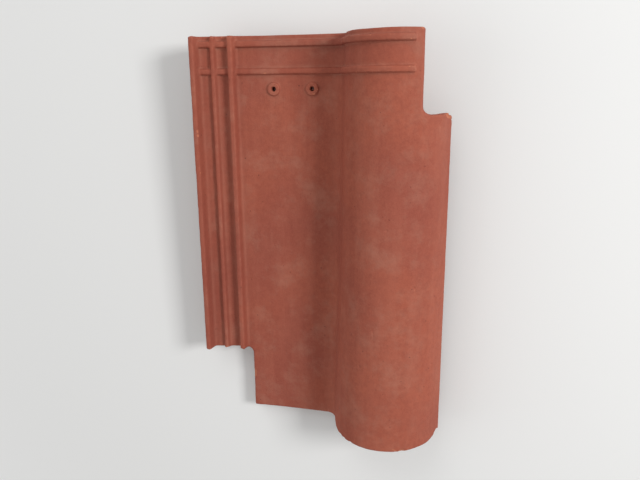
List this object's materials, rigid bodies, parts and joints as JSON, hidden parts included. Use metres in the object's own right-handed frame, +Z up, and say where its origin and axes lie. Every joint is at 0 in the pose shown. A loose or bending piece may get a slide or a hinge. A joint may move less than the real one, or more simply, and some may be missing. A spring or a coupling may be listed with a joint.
{
  "type": "clay roof tile",
  "caption": "Interlocking fired-clay roof tile with a shallow water pan, one tapered round roll, a channelled edge, weather bars across its head and hanging nibs below.",
  "frame": {"origin": "below the middle of the tile's box, on the floor that the tile lies on", "axes": "+X across the tile from its channelled edge to its roll, +Y along it from foot to head, +Z up"},
  "size_m": [0.285, 0.4526, 0.1004],
  "materials": {
    "fired_clay": "unglazed, matte natural red fired clay"
  },
  "bodies": {
    "root": {"roof_tile": "fired_clay"}
  },
  "joints": []
}
